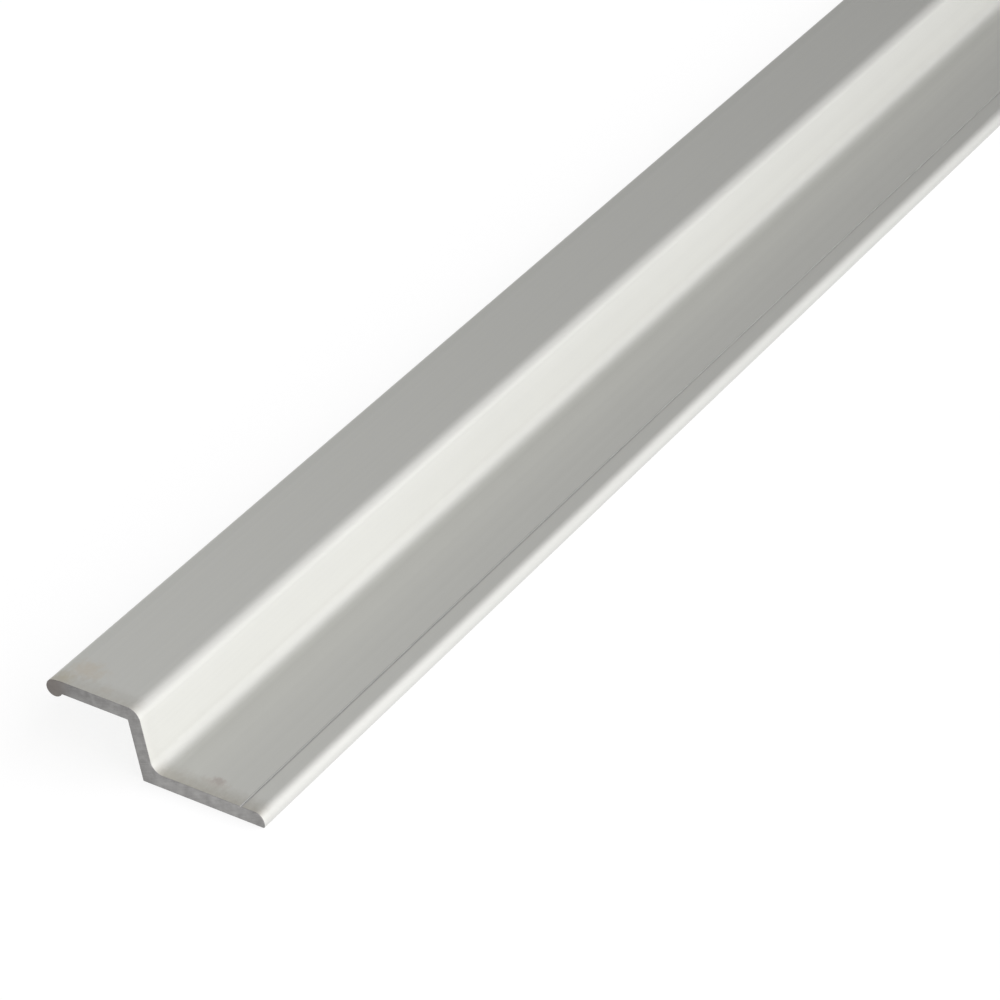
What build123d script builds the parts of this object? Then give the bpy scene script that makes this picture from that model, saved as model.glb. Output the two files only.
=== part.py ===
import os
from math import cos, radians, sin, tan

from build123d import *

os.makedirs("parts", exist_ok=True)

# A length of aluminium extrusion with a stepped Z section, in millimetres.
# X runs across the section, Y along the bar and Z up. The bar lies on its lower flange:
# Z is 0 at that flange's underside, and X and Y are 0 in the middle of the width and length.
bar_length = 1000.0
overall_width = 34.0
wall = 2.0
step_height = 9.2  # from the lower flange's underside up to the upper flange's underside
upper_reach = 13.0  # from the bead's outer face to the sharp corner under the upper flange
web_lean = 12.0  # degrees that the web leans away from upright

# The bends: round on the show side, nearly sharp on the side that seats.
bend_radius = 2.0
seat_radius = 0.15

# The bead that finishes the upper flange's free edge. It hangs below the flange, and the
# flange's upper face slopes down to it over a short shoulder.
bead_diameter = 2.6
bead_drop = 0.15  # from the flange's upper face to the bead's top
bead_root_radius = 0.25
shoulder_slope = 8.0  # degrees
shoulder_radius = 3.0

# The nose on the lower flange's free edge: a quarter of an ellipse that curves faster where
# it leaves the upper face than at the tip, and a small heel where it meets the floor.
nose_reach = 1.5
nose_height = 1.75
heel_radius = 0.25

# The fine line cut along the lower flange's upper face.
line_from_edge = 3.7
line_width = 0.25
line_depth = 0.15

# The outline's corners, before any of them is rounded.
left = -overall_width / 2
right = overall_width / 2
top = step_height + wall
run_per_rise = tan(radians(web_lean))
web_across = wall / cos(radians(web_lean))
slope = radians(shoulder_slope)
bead_radius = bead_diameter / 2
bead_centre = (left + bead_radius, top - bead_drop - bead_radius)
bead_crown = (bead_centre[0] - bead_radius * sin(slope), bead_centre[1] + bead_radius * cos(slope))
shoulder = (bead_crown[0] + (top - bead_crown[1]) / tan(slope), top)
under_corner = (left + upper_reach, step_height)
outer_corner = (under_corner[0] + step_height * run_per_rise, 0)
inner_corner = (outer_corner[0] + web_across - wall * run_per_rise, wall)
bend_corner = (under_corner[0] + web_across - wall * run_per_rise, top)
heel_corner = (right, 0)
line_x = right - line_from_edge

with BuildPart() as z_profile:
    with BuildSketch(Plane.XZ) as section:
        # Upper flange, leaning web and lower flange, as one run of constant wall.
        with BuildLine():
            nose = EllipticalCenterArc(
                (right - nose_reach, wall - nose_height), nose_reach, nose_height, arc_size=90
            )
            Polyline(
                nose @ 1,
                inner_corner,
                bend_corner,
                shoulder,
                bead_crown,
                (bead_centre[0], step_height),
                under_corner,
                outer_corner,
                heel_corner,
                nose @ 0,
            )
        make_face()
        for corner, radius in (
            (inner_corner, bend_radius),
            (bend_corner, bend_radius),
            (shoulder, shoulder_radius),
            (under_corner, seat_radius),
            (outer_corner, seat_radius),
            (heel_corner, heel_radius),
        ):
            fillet(section.vertices().sort_by_distance(corner)[0], radius)

        # The bead is tangent to the shoulder, and a small round leads it into the underside.
        with Locations(bead_centre):
            Circle(bead_radius)
        bead_root = section.vertices().sort_by_distance((left + bead_diameter, step_height))[0]
        fillet(bead_root, bead_root_radius)

        # A shallow vee makes the line on the lower flange.
        with BuildLine():
            Polyline(
                (line_x - line_width / 2, wall),
                (line_x, wall - line_depth),
                (line_x + line_width / 2, wall),
                close=True,
            )
        make_face(mode=Mode.SUBTRACT)
    extrude(amount=bar_length / 2, both=True)

z_profile.part.label = "z_profile"
export_step(z_profile.part, "parts/z_profile.step")
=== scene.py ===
from math import atan2, cos, hypot, pi, radians, sin, sqrt, tan

import bpy
import numpy as np
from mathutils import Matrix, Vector


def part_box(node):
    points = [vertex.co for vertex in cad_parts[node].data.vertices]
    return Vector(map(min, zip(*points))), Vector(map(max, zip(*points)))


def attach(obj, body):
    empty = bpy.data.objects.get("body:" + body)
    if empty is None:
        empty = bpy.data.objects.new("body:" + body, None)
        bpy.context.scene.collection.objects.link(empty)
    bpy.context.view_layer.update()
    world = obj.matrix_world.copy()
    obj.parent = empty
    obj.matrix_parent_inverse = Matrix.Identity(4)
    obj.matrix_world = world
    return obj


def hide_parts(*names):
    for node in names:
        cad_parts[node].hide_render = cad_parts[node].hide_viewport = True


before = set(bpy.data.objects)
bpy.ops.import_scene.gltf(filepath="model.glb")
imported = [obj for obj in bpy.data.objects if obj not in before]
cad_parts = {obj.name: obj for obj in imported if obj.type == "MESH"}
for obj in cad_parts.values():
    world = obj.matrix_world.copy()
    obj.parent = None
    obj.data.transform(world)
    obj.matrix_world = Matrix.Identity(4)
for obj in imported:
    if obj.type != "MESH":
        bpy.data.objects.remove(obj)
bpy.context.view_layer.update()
lowCorner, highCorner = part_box("z_profile")
print("frame: bar of", [round(1000 * (b - a), 2) for a, b in zip(lowCorner, highCorner)], "mm")

# The shape across the bar, in millimetres and degrees. X runs across and Z up, and the lower flange lies on
# the floor.
section = {
    "wall": 2.0,
    "stepHeight": 9.2,
    "upperReach": 13.0,
    "webLean": 12.0,
    "bendRadius": 2.0,  # the show side's rounds
    "seatRadius": 0.15,  # the other side's, nearly sharp
    "beadDiameter": 2.6,
    "beadDrop": 0.15,
    "beadRootRadius": 0.25,
    "shoulderSlope": 8.0,
    "shoulderRadius": 3.0,
    "noseReach": 1.5,
    "noseHeight": 1.75,
    "heelRadius": 0.25,
    "lineFromEdge": 3.7,  # the fine line on the lower flange
    "lineWidth": 0.25,
    "lineDepth": 0.15,
}

# How finely the mesh follows the shape: samples on each run of the section, and rings or steps elsewhere.
samples = {
    "beadTop": 20,
    "beadRoot": 8,
    "slope": 6,
    "shoulder": 9,
    "upperFlange": 64,
    "bend": 24,  # each of the four
    "web": 26,
    "lowerFlange": 56,  # from the hollow to the fine line
    "besideLine": 9,
    "nose": 24,
    "heel": 9,
    "alongBar": 41,  # rings between the two ends' rolled edges
    "roll": 5,  # steps round a rolled edge
    "acrossWall": 12,  # steps
}

# What sawing and deburring left at both ends, in millimetres.
sawnEnd = {
    "showRoll": 0.08,  # how far the show side's edge is rolled over
    "seatRoll": 0.04,
    "rollBlend": 9,  # samples over which the one turns into the other
    "lowRollExtra": 0.06,  # more of the show side's on the lower flange
    "lowRollAcross": 4.0,  # X by which all of it is there, from the middle on
    "lowRollHeight": 0.5,  # how far above the flange it ends
    "lowRollFade": 0.25,
    "plainFrom": 1.5,  # how far from each end the bar is plain
    "markDepth": 0.018,
    "markPitch": 1.1,
    "bladeCentre": (-46.0, 118.0),
}


# Shares from 0 to 1 that crowd towards both ends: (1 - cos(pi t)) / 2.
def crowded(count):
    return (1 - np.cos(np.linspace(0, pi, count))) / 2


# A straight run: start + (end - start) * share. Its outward normal is the way along turned a quarter turn,
# to the left where side is 1 and to the right where it is -1.
def straightRun(start, end, side, share):
    start, end = np.array(start, float), np.array(end, float)
    along = (end - start) / np.linalg.norm(end - start)
    outward = side * np.array([-along[1], along[0]])
    return start + share[:, None] * (end - start), np.tile(outward, (len(share), 1))


# An arc: centre + radius * (cos a, sin a), with a going evenly between two angles in radians. The outward
# normal is that direction on a round, and its opposite in a hollow.
def arcRun(centre, radius, fromAngle, toAngle, hollow, count):
    angle = np.linspace(fromAngle, toAngle, count)
    direction = np.stack([np.cos(angle), np.sin(angle)], 1)
    return np.array(centre) + radius * direction, -direction if hollow else direction


# A rounded corner: the arc that touches both runs, with its centre on the line that halves the corner, at
# radius / sin(half the corner's angle) from it.
def cornerRun(before, corner, after, radius, side, count):
    before, corner, after = (np.array(p, float) for p in (before, corner, after))
    back = (before - corner) / np.linalg.norm(before - corner)
    ahead = (after - corner) / np.linalg.norm(after - corner)
    halfAngle = np.arccos(np.clip(back @ ahead, -1, 1)) / 2
    centre = corner + (back + ahead) / np.linalg.norm(back + ahead) * radius / sin(halfAngle)
    first = corner + back * radius / tan(halfAngle) - centre
    last = corner + ahead * radius / tan(halfAngle) - centre
    fromAngle = atan2(first[1], first[0])
    turn = (atan2(last[1], last[0]) - fromAngle + pi) % (2 * pi) - pi
    return arcRun(centre, radius, fromAngle, fromAngle + turn, (turn > 0) == (side > 0), count)


# Runs joined end to end, each but the last one without its final sample, because the next run starts there.
def joinRuns(runs):
    kept = [slice(0, -1)] * (len(runs) - 1) + [slice(None)]
    return [np.concatenate([run[i][k] for run, k in zip(runs, kept)]) for i in (0, 1)]


# The section's two sides, each from the bead's outermost point to the nose's, in millimetres. Sample k of one
# stands across the wall from sample k of the other. The nose is a quarter of an ellipse: noseReach * cos t
# across and noseHeight * sin t up.
def sectionSides(shape, counts):
    left, right = 1000 * lowCorner.x, 1000 * highCorner.x
    top = shape["stepHeight"] + shape["wall"]
    runPerRise = tan(radians(shape["webLean"]))
    webAcross = shape["wall"] / cos(radians(shape["webLean"]))
    slope = radians(shape["shoulderSlope"])
    beadRadius = shape["beadDiameter"] / 2
    bead = np.array([left + beadRadius, top - shape["beadDrop"] - beadRadius])
    crown = bead + beadRadius * np.array([-sin(slope), cos(slope)])
    shoulder = (crown[0] + (top - crown[1]) / tan(slope), top)
    underCorner = (left + shape["upperReach"], shape["stepHeight"])
    outerCorner = (underCorner[0] + shape["stepHeight"] * runPerRise, 0)
    innerCorner = (outerCorner[0] + webAcross - shape["wall"] * runPerRise, shape["wall"])
    bendCorner = (underCorner[0] + webAcross - shape["wall"] * runPerRise, top)
    noseTop = (right - shape["noseReach"], shape["wall"])
    lineX = right - shape["lineFromEdge"]
    halfLine = shape["lineWidth"] / 2

    # Show side
    beadTop = arcRun(bead, beadRadius, pi, pi / 2 + slope, False, counts["beadTop"])
    shoulderArc = cornerRun(crown, shoulder, bendCorner, shape["shoulderRadius"], 1, counts["shoulder"])
    bendArc = cornerRun(shoulder, bendCorner, innerCorner, shape["bendRadius"], 1, counts["bend"])
    hollowArc = cornerRun(bendCorner, innerCorner, noseTop, shape["bendRadius"], 1, counts["bend"])
    lineDip = np.array([[-halfLine, 0.0], [0.0, -shape["lineDepth"]], [halfLine, 0.0]])
    lineDip += (lineX, shape["wall"])
    t = np.linspace(pi / 2, 0, counts["nose"])
    nose = np.stack([shape["noseReach"] * np.cos(t), shape["noseHeight"] * (np.sin(t) - 1)], 1) + noseTop
    noseOut = np.stack([np.cos(t) / shape["noseReach"], np.sin(t) / shape["noseHeight"]], 1)
    lowerTop = joinRuns([
        straightRun(hollowArc[0][-1], lineDip[0], 1, crowded(counts["lowerFlange"])),
        (lineDip, np.tile([0.0, 1.0], (3, 1))),
        straightRun(lineDip[-1], noseTop, 1, crowded(counts["besideLine"])),
        (nose, noseOut / np.linalg.norm(noseOut, axis=1)[:, None]),
    ])
    show = joinRuns([
        beadTop,
        straightRun(crown, shoulderArc[0][0], 1, crowded(counts["slope"])),
        shoulderArc,
        straightRun(shoulderArc[0][-1], bendArc[0][0], 1, crowded(counts["upperFlange"])),
        bendArc,
        straightRun(bendArc[0][-1], hollowArc[0][0], 1, crowded(counts["web"])),
        hollowArc,
        lowerTop,
    ])

    # Seat side. Its bead and its underside get as many samples as stand across the wall from them, and
    # the underside's are spaced as those are. The arc at the bead's root touches the bead and the flange.
    rootDrop = bead[1] - shape["stepHeight"] + shape["beadRootRadius"]
    rootReach = sqrt((beadRadius + shape["beadRootRadius"]) ** 2 - rootDrop**2)
    rootAngle = atan2(rootDrop, rootReach)
    root = bead + np.array([rootReach, -rootDrop])
    heel = (right - shape["heelRadius"], shape["heelRadius"])
    rootEnd = (root[0], shape["stepHeight"])
    underArc = cornerRun(rootEnd, underCorner, outerCorner, shape["seatRadius"], -1, counts["bend"])
    outerArc = cornerRun(underCorner, outerCorner, (right, 0), shape["seatRadius"], -1, counts["bend"])
    underCount = counts["beadTop"] + counts["slope"] + counts["shoulder"] - counts["beadRoot"] - 1
    beadUnder = arcRun(bead, beadRadius, pi, 2 * pi - rootAngle, False, underCount)
    beadRoot = arcRun(root, shape["beadRootRadius"], pi - rootAngle, pi / 2, True, counts["beadRoot"])
    overUnderside = lowerTop[0][:1 - counts["heel"], 0]
    underShare = (overUnderside - overUnderside[0]) / np.ptp(overUnderside)
    seat = joinRuns([
        beadUnder,
        beadRoot,
        straightRun(beadRoot[0][-1], underArc[0][0], -1, crowded(counts["upperFlange"])),
        underArc,
        straightRun(underArc[0][-1], outerArc[0][0], -1, crowded(counts["web"])),
        outerArc,
        straightRun(outerArc[0][-1], (heel[0], 0), -1, underShare),
        arcRun(heel, shape["heelRadius"], 1.5 * pi, 2 * pi, False, counts["heel"]),
    ])
    return show, seat, lineX


(showSide, showOut), (seatSide, seatOut), lineX = sectionSides(section, samples)
print("section:", len(showSide), "and", len(seatSide), "samples")


# The bar: the section carried along Y. Towards each end it has a rolled edge: the section shrinks along its
# normals by roll * (1 - sin a) while y moves in by roll * (1 - cos a), with a from 0 at the sawn face to a
# quarter turn. The sawn face is the grid show + (seat - show) * v across the wall, sunk by the saw's marks,
# which are rings round the blade's centre: depth * (1 + cos(2 pi distance / pitch)) / 2, and which die out
# towards its rim by sqrt(sin(pi v)).
def barMesh(shape, counts, cut):
    perSide = len(showSide)
    loop = np.concatenate([showSide, seatSide[-2:0:-1]])
    outward = np.concatenate([showOut, seatOut[-2:0:-1]])
    below = shape["wall"] + cut["lowRollHeight"] - loop[:, 1]
    lowFlange = np.clip(loop[:, 0] / cut["lowRollAcross"], 0, 1) * np.clip(below / cut["lowRollFade"], 0, 1)

    # The show side's roll turns into the seat side's by a running average round the loop.
    onShow = np.concatenate([np.ones(perSide), np.zeros(perSide - 2)])
    evenly = np.ones(cut["rollBlend"]) / cut["rollBlend"]
    blend = np.convolve(np.tile(onShow, 3), evenly, "same")[len(loop):2 * len(loop)]
    roll = cut["seatRoll"] + blend * (cut["showRoll"] - cut["seatRoll"] + lowFlange * cut["lowRollExtra"])

    angle = np.linspace(0, pi / 2, counts["roll"] + 1)
    inset = roll * (1 - np.sin(angle))[:, None]
    depth = roll * (1 - np.cos(angle))[:, None]
    halfLength = 1000 * highCorner.y
    middle = np.linspace(cut["plainFrom"] - halfLength, halfLength - cut["plainFrom"], counts["alongBar"])
    inset = np.concatenate([inset, np.zeros((len(middle), len(loop))), inset[::-1]])
    y = np.concatenate([depth - halfLength, np.tile(middle[:, None], len(loop)), halfLength - depth[::-1]])
    ringPoints = np.empty(y.shape + (3,))
    ringPoints[..., 0] = loop[:, 0] - inset * outward[:, 0]
    ringPoints[..., 1] = y
    ringPoints[..., 2] = loop[:, 1] - inset * outward[:, 1]
    rings, around = y.shape
    index = np.arange(rings * around).reshape(rings, around)
    after = np.roll(index, -1, 1)
    skin = np.stack([index[:-1], after[:-1], after[1:], index[1:]], -1).reshape(-1, 4)

    # The sawn faces: their rims are the first and last ring. At the bead's outermost point and the nose's
    # the grid closes to one vertex, so its faces there are triangles.
    capPoints, capQuads, capTris = [], [], []
    across = counts["acrossWall"]
    v = np.linspace(0, 1, across + 1)[1:-1, None, None]
    seatOrder = [0, *range(around - 1, perSide - 1, -1), perSide - 1]  # a ring's seat side, bead to nose
    made = rings * around
    for ring, inwards in ((0, 1), (rings - 1, -1)):
        rim = ringPoints[ring]
        showRim = rim[:perSide]
        seatRim = rim[seatOrder]
        inner = showRim[1:-1] + (seatRim - showRim)[1:-1] * v
        fromBlade = np.hypot(inner[..., 0] - cut["bladeCentre"][0], inner[..., 2] - cut["bladeCentre"][1])
        marks = (1 + np.cos(2 * pi * fromBlade / cut["markPitch"])) / 2
        inner[..., 1] += inwards * cut["markDepth"] * marks * np.sqrt(np.sin(pi * v[..., 0]))
        grid = np.empty((across + 1, perSide), int)
        grid[0] = index[ring, :perSide]
        grid[-1] = index[ring, seatOrder]
        grid[1:-1, 1:-1] = made + np.arange(inner.shape[0] * inner.shape[1]).reshape(inner.shape[:2])
        grid[1:-1, 0], grid[1:-1, -1] = grid[0, 0], grid[0, -1]
        quads = np.stack([grid[:-1, :-1], grid[1:, :-1], grid[1:, 1:], grid[:-1, 1:]], -1)
        sides = np.concatenate([quads[:, 0][:, [0, 2, 3]], quads[:, -1][:, [0, 1, 3]]])
        quads = quads[:, 1:-1].reshape(-1, 4)
        capQuads.append(quads if inwards > 0 else quads[:, ::-1])
        capTris.append(sides if inwards > 0 else sides[:, ::-1])
        capPoints.append(inner.reshape(-1, 3))
        made += len(capPoints[-1])
    points = np.concatenate([ringPoints.reshape(-1, 3)] + capPoints) / 1000
    faces = [skin.tolist()] + [q.tolist() for q in capQuads] + [q.tolist() for q in capTris]
    points = np.clip(points, list(lowCorner), list(highCorner))  # no rounding past the box
    mesh = bpy.data.meshes.new("anodisedBar")
    mesh.from_pydata(points, [], sum(faces, []))
    material = np.ones(len(mesh.polygons), np.int32)
    strips = material[:len(skin)].reshape(rings - 1, around)
    strips[counts["roll"]:-counts["roll"]] = 0  # the rolls are bare metal too
    mesh.polygons.foreach_set("material_index", material)
    mesh.polygons.foreach_set("use_smooth", np.ones(len(mesh.polygons), bool))

    # The fine line's two rims and its bottom are sharp edges.
    ends = np.empty(2 * len(mesh.edges), np.int32)
    mesh.edges.foreach_get("vertices", ends)
    ends = ends.reshape(-1, 2)
    onRing = np.all(ends < rings * around, 1)
    column = ends % around
    dip = np.argmin(np.abs(showSide[:, 0] - lineX))
    sharp = onRing & (column[:, 0] == column[:, 1]) & (np.abs(column[:, 0] - dip) <= 1)
    flags = mesh.attributes.new("sharp_edge", "BOOLEAN", "EDGE")
    flags.data.foreach_set("value", sharp)
    mesh.validate()
    mesh.update()
    return mesh


bar = bpy.data.objects.new("anodisedBar", barMesh(section, samples, sawnEnd))
bpy.context.scene.collection.objects.link(bar)
print("bar:", len(bar.data.vertices), "vertices,", len(bar.data.polygons), "faces")


# Small helpers for shader nodes. A value is a number or another node's socket.
def plugIn(tree, socket, value):
    if isinstance(value, bpy.types.NodeSocket):
        tree.links.new(value, socket)
    else:
        socket.default_value = value


# A node with its settings and inputs. An input's name is written with _ for a space.
def addNode(tree, kind, settings=None, **values):
    node = tree.nodes.new(kind)
    for name, value in (settings or {}).items():
        setattr(node, name, value)
    for name, value in values.items():
        plugIn(tree, node.inputs[name.replace("_", " ")], value)
    return node


# One Math node: the operation on its terms.
def calculate(tree, operation, *terms):
    node = tree.nodes.new("ShaderNodeMath")
    node.operation = operation
    for socket, term in zip(node.inputs, terms):
        plugIn(tree, socket, term)
    return node.outputs[0]


# first * firstShare + second * secondShare
def weighted(tree, first, firstShare, second, secondShare):
    firstPart = calculate(tree, "MULTIPLY", first, firstShare)
    return calculate(tree, "ADD", firstPart, calculate(tree, "MULTIPLY", second, secondShare))


# sqrt(x * x + y * y + z * z)
def vectorLength(tree, vector):
    return addNode(tree, "ShaderNodeVectorMath", {"operation": "LENGTH"}, Vector=vector).outputs["Value"]


# A value carried from one range to another and held inside it: toLow + (toHigh - toLow) * share, where the
# share is (value - fromLow) / (fromHigh - fromLow), or eased at both ends where smooth is set.
def remap(tree, value, fromLow, fromHigh, toLow, toHigh, smooth=False):
    node = tree.nodes.new("ShaderNodeMapRange")
    node.interpolation_type = "SMOOTHSTEP" if smooth else "LINEAR"
    for socket, term in zip(node.inputs, (value, fromLow, fromHigh, toLow, toHigh)):
        plugIn(tree, socket, term)
    return node.outputs[0]


# first * (1 - share) + second * share, or that share of another way to blend them. A Mix node's sockets 6
# and 7 are its two colours, and its output 2 is the blend.
def mixColour(tree, share, first, second, kind="MIX"):
    node = tree.nodes.new("ShaderNodeMix")
    node.data_type, node.blend_type = "RGBA", kind
    for socket, term in zip((node.inputs[0], node.inputs[6], node.inputs[7]), (share, first, second)):
        plugIn(tree, socket, term)
    return node.outputs[2]


# The first shader where the share is 0, and the second where it is 1.
def mixShaders(tree, share, first, second):
    node = addNode(tree, "ShaderNodeMixShader", Fac=share)
    tree.links.new(first.outputs[0], node.inputs[1])
    tree.links.new(second.outputs[0], node.inputs[2])
    return node


# Noise from 0 to 1, mostly near a half. Its stretch is how many cells there are to a metre each way.
def noise(tree, place, pattern):
    stretched = addNode(tree, "ShaderNodeMapping", Vector=place, Scale=pattern["stretch"]).outputs[0]
    return addNode(tree, "ShaderNodeTexNoise", Vector=stretched, Scale=1.0, Detail=pattern["detail"],
                   Roughness=pattern["roughness"]).outputs["Fac"]


# How far a point is from a spot's centre, in reaches: sqrt of the sum of ((place - centre) / reach) squared.
def reachesAway(tree, place, spot):
    fromCentre = addNode(tree, "ShaderNodeMapping", {"vector_type": "TEXTURE"}, Vector=place,
                         Location=spot["centre"], Scale=spot["reach"]).outputs[0]
    return vectorLength(tree, fromCentre)


# middle - spread to middle + spread, as a value goes from low to high
def spreadAbout(tree, value, between, middle, spread):
    return remap(tree, value, *between, middle - spread, middle + spread)


# A material with no nodes yet, and the tree to put them in.
def newMaterial(name):
    material = bpy.data.materials.new(name)
    material.use_nodes = True
    material.node_tree.nodes.clear()
    return material, material.node_tree


# Where a point is on the bar, as a vector and as its X, Y and Z.
def barPlace(tree):
    place = addNode(tree, "ShaderNodeTexCoord").outputs["Object"]
    return place, addNode(tree, "ShaderNodeSeparateXYZ", Vector=place).outputs


# Satin anodising over die-drawn metal, in metres. A pair that ends in Between is the noise taken as none and
# as full.
anodisedFinish = {
    "colour": (0.724, 0.729, 0.692, 1),
    "mottleColour": (0.704, 0.709, 0.672, 1),
    "mottleBetween": (0.35, 0.65),
    "streakShare": 0.6,  # of the mottle; the cloud is the rest
    "streak": {"stretch": (900, 2.2, 900), "detail": 3.0, "roughness": 0.6},
    "cloud": {"stretch": (70, 28, 70), "detail": 3.0, "roughness": 0.5},
    "roughness": 0.606,
    "roughnessSpread": 0.03,
    "roughnessBetween": (0.4, 1.1),
    "spreadAcross": 0.66,  # die lines scatter light across the bar more than along it
    "grain": {"stretch": (5200, 2600, 5200), "detail": 2.0, "roughness": 0.6},
    "grainShare": 0.5,  # of the roughness, beside the mottle
    "grainHeight": 0.0000015,
    # Painted shade: darker streaks along the bends where the web meets the flanges. A reach of 1000 takes
    # them the whole way along.
    "paintedShadeStreaks": [
        {"centre": (-0.0025, 0, 0.01054), "reach": (0.0007, 1000, 0.0007), "keeps": (0.94, 0.94, 0.94, 1)},
        {"centre": (-0.0006, 0, 0.0031), "reach": (0.0006, 1000, 0.0015), "keeps": (0.953, 0.953, 0.953, 1)},
        {"centre": (0.0020, 0, 0.0020), "reach": (0.0024, 1000, 0.0013), "keeps": (0.93, 0.93, 0.93, 1)},
    ],
    "lineColour": (0.53, 0.53, 0.51, 1),
    "lineReach": (0.0001, 0.00033),  # from its middle to where it starts to clear, and where it has
    "lineHeight": 0.0006,  # how near the flange's upper face it has to be
    "lineFade": (-0.455, -0.345),  # Y where it starts to fade, and where it has faded
    "lineFaded": 0.5,
    "ragged": {"stretch": (1500, 1100, 1500), "detail": 2.0, "roughness": 0.6},  # frays edge and stains
    "raggedBetween": (0.3, 0.7),
    "edgeColour": (0.538, 0.523, 0.472, 1),
    "edgeReach": 0.0032,
    "edgeFray": 0.0004,
    "edgeFalloff": 1.2,
    "edgeStrength": {"lower": 1.0, "upper": 0.68, "upright": 0.15},
    "edgeStep": (0.005, 0.008),  # Z where the lower flange's strength turns into the upper's
    "edgeTilt": (0.6, 0.95),  # the normal's Z on a face that counts as upright, and as flat
    # Painted shade at the nose's foot, where it meets the floor.
    "noseFootShadeColour": (0.86, 0.86, 0.87, 1),  # what the foot of the nose keeps of its colour
    "noseFootShadeHeight": (0.0004, 0.0016),  # Z of the nose where that is reached, and where it starts
    "noseFootShadeTilt": (0.2, 0.6),  # the normal's X where it starts, and where it is full
    "stainFray": 0.3,
    "stainFade": (0.1, 1.3),  # reaches from a stain's centre where it starts to fade, and ends
    "stains": [
        {"centre": (-0.0148, -0.4992, 0.0111), "reach": (0.0018, 0.0018, 0.0013),
         "colour": (0.67, 0.635, 0.525, 1), "strength": 1.0},
        {"centre": (-0.0131, -0.4961, 0.0112), "reach": (0.0030, 0.0022, 0.0013),
         "colour": (0.69, 0.662, 0.59, 1), "strength": 0.95},
        {"centre": (-0.0085, -0.4984, 0.0112), "reach": (0.0012, 0.0010, 0.0013),
         "colour": (0.70, 0.68, 0.62, 1), "strength": 0.7},
        {"centre": (0.0078, -0.4976, 0.0020), "reach": (0.0021, 0.0012, 0.0013),
         "colour": (0.69, 0.665, 0.62, 1), "strength": 0.8},
        {"centre": (0.0079, -0.4970, 0.0020), "reach": (0.0011, 0.0009, 0.0013),
         "colour": (0.60, 0.565, 0.53, 1), "strength": 0.95},
    ],
}


# How strongly the finish is stripped: (1 - distance from the sawn end / reach) to the power of the falloff,
# less on the upper flange, and hardly at all on upright faces.
def strippedEdge(tree, finish, axes, normal, frayed):
    fromEnd = calculate(tree, "SUBTRACT", highCorner.y, calculate(tree, "ABSOLUTE", axes["Y"]))
    fray = spreadAbout(tree, frayed, finish["raggedBetween"], 0, finish["edgeFray"])
    near = remap(tree, calculate(tree, "ADD", fromEnd, fray), 0, finish["edgeReach"], 1, 0)
    stripped = calculate(tree, "POWER", near, finish["edgeFalloff"])
    strength = finish["edgeStrength"]
    onFlange = remap(tree, axes["Z"], *finish["edgeStep"], strength["lower"], strength["upper"])
    onUpright = remap(tree, normal["Z"], *finish["edgeTilt"], strength["upright"], 1)
    return calculate(tree, "MULTIPLY", calculate(tree, "MULTIPLY", stripped, onFlange), onUpright)


# How strongly the fine line is darkened: 1 in it, 0 beside it, less from the near end on, and only on the
# lower flange's upper face.
def darkenedLine(tree, finish, axes):
    fromLine = calculate(tree, "ABSOLUTE", calculate(tree, "SUBTRACT", axes["X"], lineX / 1000))
    inLine = remap(tree, fromLine, *finish["lineReach"], 1, 0, True)
    fromFace = calculate(tree, "ABSOLUTE", calculate(tree, "SUBTRACT", axes["Z"], section["wall"] / 1000))
    onFace = calculate(tree, "LESS_THAN", fromFace, finish["lineHeight"])
    faded = remap(tree, axes["Y"], *finish["lineFade"], 1, finish["lineFaded"], True)
    return calculate(tree, "MULTIPLY", calculate(tree, "MULTIPLY", inLine, onFace), faded)


# How strongly the nose's foot is darkened with painted shade where it meets the floor: not at all at its top,
# fully at its foot, and only on its outer side.
def shadedNoseFoot(tree, finish, axes, normal):
    down = remap(tree, axes["Z"], *finish["noseFootShadeHeight"], 1, 0)
    onNose = calculate(tree, "GREATER_THAN", axes["X"], highCorner.x - section["noseReach"] / 1000)
    facingOut = remap(tree, normal["X"], *finish["noseFootShadeTilt"], 0, 1)
    return calculate(tree, "MULTIPLY", calculate(tree, "MULTIPLY", down, onNose), facingOut)
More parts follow.
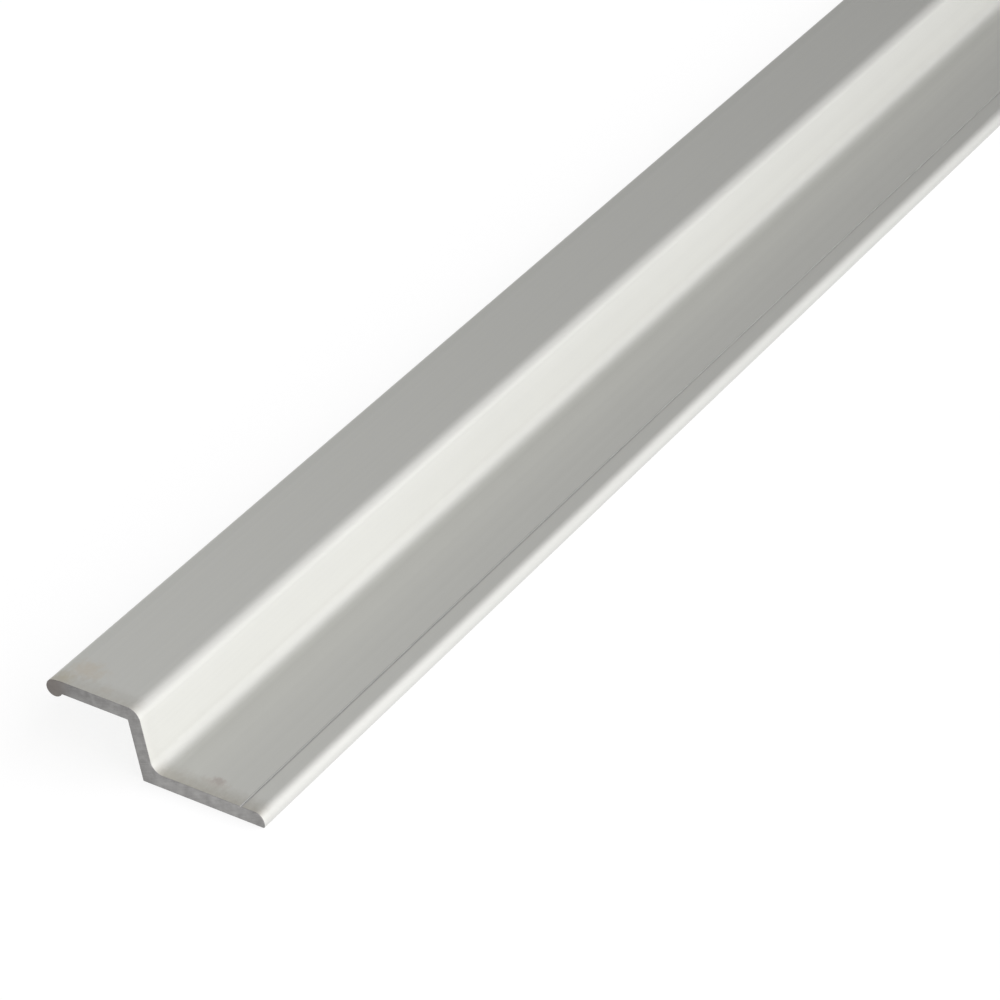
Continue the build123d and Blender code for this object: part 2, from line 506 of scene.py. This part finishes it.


# The anodised metal, whose colour is laid on in turn: mottle, painted shade along the web's bends, stains,
# stripped edge, painted shade at the nose's foot and fine line.
def anodisedMaterial(finish):
    material, tree = newMaterial("anodisedSatin")
    place, axes = barPlace(tree)
    geometry = addNode(tree, "ShaderNodeNewGeometry")
    normal = addNode(tree, "ShaderNodeSeparateXYZ", Vector=geometry.outputs["Normal"]).outputs
    streak = noise(tree, place, finish["streak"])
    cloud = noise(tree, place, finish["cloud"])
    grain = noise(tree, place, finish["grain"])
    frayed = noise(tree, place, finish["ragged"])
    mottle = weighted(tree, streak, finish["streakShare"], cloud, 1 - finish["streakShare"])
    mottled = remap(tree, mottle, *finish["mottleBetween"], 0, 1)
    colour = mixColour(tree, mottled, finish["colour"], finish["mottleColour"])
    # Painted shade along the web's bends, multiplied into the colour.
    for shadeStreak in finish["paintedShadeStreaks"]:
        share = remap(tree, reachesAway(tree, place, shadeStreak), 0, 1, 1, 0, True)
        colour = mixColour(tree, share, colour, shadeStreak["keeps"], "MULTIPLY")
    stainFray = spreadAbout(tree, frayed, finish["raggedBetween"], 0, finish["stainFray"])
    for stain in finish["stains"]:
        away = calculate(tree, "ADD", reachesAway(tree, place, stain), stainFray)
        share = remap(tree, away, *finish["stainFade"], stain["strength"], 0, True)
        colour = mixColour(tree, share, colour, stain["colour"])
    colour = mixColour(tree, strippedEdge(tree, finish, axes, normal, frayed), colour, finish["edgeColour"])
    # Painted shade at the nose's foot, multiplied into the colour.
    colour = mixColour(tree, shadedNoseFoot(tree, finish, axes, normal), colour, finish["noseFootShadeColour"], "MULTIPLY")
    colour = mixColour(tree, darkenedLine(tree, finish, axes), colour, finish["lineColour"])
    uneven = weighted(tree, mottle, 1.0, grain, finish["grainShare"])
    roughness = spreadAbout(tree, uneven, finish["roughnessBetween"], finish["roughness"],
                            finish["roughnessSpread"])
    bump = addNode(tree, "ShaderNodeBump", Height=grain, Strength=1.0, Distance=finish["grainHeight"])
    alongBar = addNode(tree, "ShaderNodeCombineXYZ", Y=1.0)
    shader = addNode(tree, "ShaderNodeBsdfPrincipled", Base_Color=colour, Metallic=1.0, Roughness=roughness,
                     Normal=bump.outputs[0], Tangent=alongBar.outputs[0], Anisotropic=finish["spreadAcross"],
                     Anisotropic_Rotation=0.25)  # a quarter turn, from along the bar to across it
    addNode(tree, "ShaderNodeOutputMaterial", Surface=shader.outputs[0])
    return material


# Bare metal as the saw left it: dull and blotchy, browner at the bead, and lighter on the lower flange. Its
# dark grey is partly the saw's dull metal and partly painted shade, for a face turned away from the lamps.
sawnFinish = {
    "colour": (0.342, 0.338, 0.331, 1),
    "darkColour": (0.273, 0.268, 0.264, 1),
    "beadColour": (0.254, 0.234, 0.219, 1),
    "beadShare": 0.9,
    "beadReach": (-0.0155, -0.0125),  # X where the bead's colour starts to fade, and where it has
    "shades": [  # X from and to, and the lightness at each
        {"between": (-0.0155, -0.006), "lightness": (0.83, 1)},
        {"between": (-0.0025, 0.0025), "lightness": (1, 1.14)},
        {"between": (0.0135, 0.0166), "lightness": (1, 0.86)},
    ],
    "roughness": 0.62,
    "roughnessSpread": 0.06,
    "roughnessBetween": (0.3, 0.7),
    "blotch": {"stretch": (700, 700, 700), "detail": 3.0, "roughness": 0.6},
    "blotchShare": 0.6,  # of the tone; the marks are the rest
    "toneBetween": (0.38, 0.62),
    # The marks' stretch is away from the blade's centre, round it and along the bar.
    "marks": {"stretch": (5200, 260, 1), "detail": 3.0, "roughness": 0.65},
    "markHeight": 0.000006,
    "speck": {"stretch": (5000, 5000, 5000), "detail": 2.0, "roughness": 0.6},
    "speckShare": 0.4,  # of the height, beside the marks
}


# The sawn metal. Its marks are noise on the distance from the blade's centre and on the way round it, which
# is the angle times the centre's distance from the bar's middle.
def sawnMaterial(finish):
    material, tree = newMaterial("sawnMetal")
    place, axes = barPlace(tree)
    blotch = noise(tree, place, finish["blotch"])
    speck = noise(tree, place, finish["speck"])
    centre = [part / 1000 for part in sawnEnd["bladeCentre"]]
    across = calculate(tree, "SUBTRACT", axes["X"], centre[0])
    up = calculate(tree, "SUBTRACT", axes["Z"], centre[1])
    away = vectorLength(tree, addNode(tree, "ShaderNodeCombineXYZ", X=across, Y=up).outputs[0])
    turned = calculate(tree, "MULTIPLY", calculate(tree, "ARCTAN2", up, across), hypot(*centre))
    roundBlade = addNode(tree, "ShaderNodeCombineXYZ", X=away, Y=turned, Z=axes["Y"]).outputs[0]
    marks = noise(tree, roundBlade, finish["marks"])
    tone = weighted(tree, blotch, finish["blotchShare"], marks, 1 - finish["blotchShare"])
    darkened = remap(tree, tone, *finish["toneBetween"], 0, 1)
    colour = mixColour(tree, darkened, finish["colour"], finish["darkColour"])
    onBead = remap(tree, axes["X"], *finish["beadReach"], finish["beadShare"], 0, True)
    colour = mixColour(tree, onBead, colour, finish["beadColour"])
    for shade in finish["shades"]:
        light = remap(tree, axes["X"], *shade["between"], *shade["lightness"], True)
        grey = addNode(tree, "ShaderNodeCombineColor", Red=light, Green=light, Blue=light).outputs[0]
        colour = mixColour(tree, 1.0, colour, grey, "MULTIPLY")
    height = weighted(tree, marks, 1.0, speck, finish["speckShare"])
    bump = addNode(tree, "ShaderNodeBump", Height=height, Strength=1.0, Distance=finish["markHeight"])
    roughness = spreadAbout(tree, blotch, finish["roughnessBetween"], finish["roughness"],
                            finish["roughnessSpread"])
    shader = addNode(tree, "ShaderNodeBsdfPrincipled", Base_Color=colour, Metallic=1.0, Roughness=roughness,
                     Normal=bump.outputs[0])
    addNode(tree, "ShaderNodeOutputMaterial", Surface=shader.outputs[0])
    return material


bar.data.materials.append(anodisedMaterial(anodisedFinish))
bar.data.materials.append(sawnMaterial(sawnFinish))
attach(bar, "root")
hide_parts("z_profile")
print("finishes: anodised and sawn")

# The camera: from the nose's side, above the near sawn end, with a long lens.
viewpoint = {
    "place": (0.26332, -0.84575, 0.33890),
    "azimuth": 31.3896,  # from -Y towards +X, to where it stands
    "elevation": 34.2138,
    "lens": 151.74,  # millimetres, like the sensor's width
    "sensor": 36,
    "clip": (0.01, 100),
}


# It looks along the opposite of (sin a cos e, -cos a cos e, sin e), with a the azimuth and e the elevation.
def placeCamera(view):
    turn, rise = radians(view["azimuth"]), radians(view["elevation"])
    back = Vector((sin(turn) * cos(rise), -cos(turn) * cos(rise), sin(rise)))
    data = bpy.data.cameras.new("photoCamera")
    data.lens, data.sensor_width = view["lens"], view["sensor"]
    data.clip_start, data.clip_end = view["clip"]
    camera = bpy.data.objects.new("photoCamera", data)
    camera.location = view["place"]
    camera.rotation_mode = "QUATERNION"
    camera.rotation_quaternion = (-back).to_track_quat("-Z", "Y")
    bpy.context.scene.collection.objects.link(camera)
    bpy.context.scene.camera = camera


placeCamera(viewpoint)
print("camera: a", viewpoint["lens"], "mm lens")

# The studio: a white floor and surround, a broad softbox and a low strip on the nose's side, and a soft-edged
# dark card that the flanges mirror. A place is an azimuth from +Y towards +X, an elevation and a distance in
# metres, from a point on the floor by the bar's near end.
studio = {
    "white": (1, 1, 1, 1),
    "aim": (0.0, -0.42, 0.0),
    "surroundLight": 0.6,
    "floor": {
        "size": 30.0,
        "drop": 0.00003,  # a hair under the bar
        "colour": (0.82, 0.82, 0.82, 1),  # what it throws back onto the bar
        "glow": 0.78,  # of what is seen of it near the bar; lamplight adds the rest up to white
        "lampShare": (0.25, 0.25, 0.25, 1),
        "fade": (0.6, 1.1),  # from here on outwards it is seen as plain white
    },
    "softboxes": [
        {"name": "sideSoftbox", "azimuth": 76.6, "elevation": 33.0, "distance": 3.2,
         "size": (6.00, 4.58), "radiance": 1.4, "colour": (0.985, 0.968, 1.0)},
        {"name": "lowStrip", "azimuth": 69.8, "elevation": 11.5, "distance": 2.6,
         "size": (3.52, 0.62), "radiance": 2.16, "colour": (1.0, 0.985, 1.0)},
    ],
    "card": {
        "azimuth": 12.7, "elevation": 29.8, "distance": 6.0,
        "size": (26.98, 39.26),
        "radiance": 0.018,
        "plateau": 0.03,  # share of the way to its rim where it starts to clear
    },
}


# An item put at aim + distance * (sin a cos e, cos a cos e, sin e) and turned square to the line to the aim.
def placeFacing(item, place):
    turn, rise = radians(place["azimuth"]), radians(place["elevation"])
    towards = Vector((sin(turn) * cos(rise), cos(turn) * cos(rise), sin(rise)))
    item.location = Vector(studio["aim"]) + towards * place["distance"]
    item.rotation_mode = "QUATERNION"
    item.rotation_quaternion = towards.to_track_quat("Z", "Y")
    bpy.context.scene.collection.objects.link(item)


# A flat sheet of width by height about its origin, at height z.
def sheetObject(name, width, height, z=0.0):
    mesh = bpy.data.meshes.new(name)
    corners = np.array([[-0.5, -0.5], [0.5, -0.5], [0.5, 0.5], [-0.5, 0.5]]) * (width, height)
    mesh.from_pydata(np.column_stack([corners, np.full(4, z)]), [], [(0, 1, 2, 3)])
    return bpy.data.objects.new(name, mesh)


# What the camera, a mirror or a glass sees, as 1, and what only lights the scene, as 0.
def seenDirectly(tree):
    rays = addNode(tree, "ShaderNodeLightPath").outputs
    seen = calculate(tree, "MAXIMUM", rays["Is Camera Ray"], rays["Is Glossy Ray"])
    return calculate(tree, "MAXIMUM", seen, rays["Is Transmission Ray"])


# The surround: an even light, seen as plain white.
def makeSurround(strength):
    world = bpy.data.worlds.new("softSurround")
    world.use_nodes = True
    tree = world.node_tree
    tree.nodes.clear()
    light = addNode(tree, "ShaderNodeBackground", Color=studio["white"], Strength=strength)
    white = addNode(tree, "ShaderNodeBackground", Color=studio["white"], Strength=1.0)
    surface = mixShaders(tree, seenDirectly(tree), light, white)
    addNode(tree, "ShaderNodeOutputWorld", Surface=surface.outputs[0])
    world.cycles.sampling_method = "NONE"
    bpy.context.scene.world = world


# The floor: pale paper where it only lights the bar. Seen or mirrored it is a glow that the lamps bring up to
# white, so it keeps the bar's soft shadow, and further out it is plain white.
def makeFloor(ground):
    floor = sheetObject("floor", ground["size"], ground["size"], -ground["drop"])
    material, tree = newMaterial("paleFloor")
    paper = addNode(tree, "ShaderNodeBsdfDiffuse", Color=ground["colour"])
    glow = addNode(tree, "ShaderNodeEmission", Color=studio["white"], Strength=ground["glow"])
    lit = addNode(tree, "ShaderNodeBsdfDiffuse", Color=ground["lampShare"])
    near = addNode(tree, "ShaderNodeAddShader")
    tree.links.new(glow.outputs[0], near.inputs[0])
    tree.links.new(lit.outputs[0], near.inputs[1])
    far = addNode(tree, "ShaderNodeEmission", Color=studio["white"], Strength=1.0)
    away = vectorLength(tree, addNode(tree, "ShaderNodeTexCoord").outputs["Object"])
    seen = mixShaders(tree, remap(tree, away, *ground["fade"], 0, 1, True), near, far)
    surface = mixShaders(tree, seenDirectly(tree), paper, seen)
    addNode(tree, "ShaderNodeOutputMaterial", Surface=surface.outputs[0])
    material.cycles.emission_sampling = "NONE"
    floor.data.materials.append(material)
    bpy.context.scene.collection.objects.link(floor)


# A softbox: a plain rectangle, whose power is radiance * pi * area.
def makeSoftbox(box):
    width, height = box["size"]
    lamp = bpy.data.lights.new(box["name"], "AREA")
    lamp.shape = "RECTANGLE"
    lamp.size, lamp.size_y = width, height
    lamp.energy = box["radiance"] * pi * width * height
    lamp.color = box["colour"]
    softbox = bpy.data.objects.new(box["name"], lamp)
    softbox.visible_camera = False
    placeFacing(softbox, box)


# The card, which only mirrors show: dark in its middle and clear at its rim, by a smoothstep of the distance
# from its middle as a share of its half width and half height.
def makeCard(shade):
    width, height = shade["size"]
    card = sheetObject("darkCard", width, height)
    material, tree = newMaterial("darkCard")
    place = addNode(tree, "ShaderNodeTexCoord").outputs["Object"]
    shares = addNode(tree, "ShaderNodeMapping", Vector=place, Scale=(2 / width, 2 / height, 1)).outputs[0]
    dark = addNode(tree, "ShaderNodeEmission", Color=studio["white"], Strength=shade["radiance"])
    clear = addNode(tree, "ShaderNodeBsdfTransparent")
    cover = remap(tree, vectorLength(tree, shares), shade["plateau"], 1, 1, 0, True)
    surface = mixShaders(tree, cover, clear, dark)
    addNode(tree, "ShaderNodeOutputMaterial", Surface=surface.outputs[0])
    material.cycles.emission_sampling = "NONE"
    card.data.materials.append(material)
    placeFacing(card, shade)
    card.visible_camera = card.visible_diffuse = card.visible_shadow = card.visible_transmission = False


makeSurround(studio["surroundLight"])
makeFloor(studio["floor"])
for softbox in studio["softboxes"]:
    makeSoftbox(softbox)
makeCard(studio["card"])
bpy.context.scene.view_settings.view_transform = "Standard"
print("studio: floor, surround, softboxes and card")

bpy.context.view_layer.update()
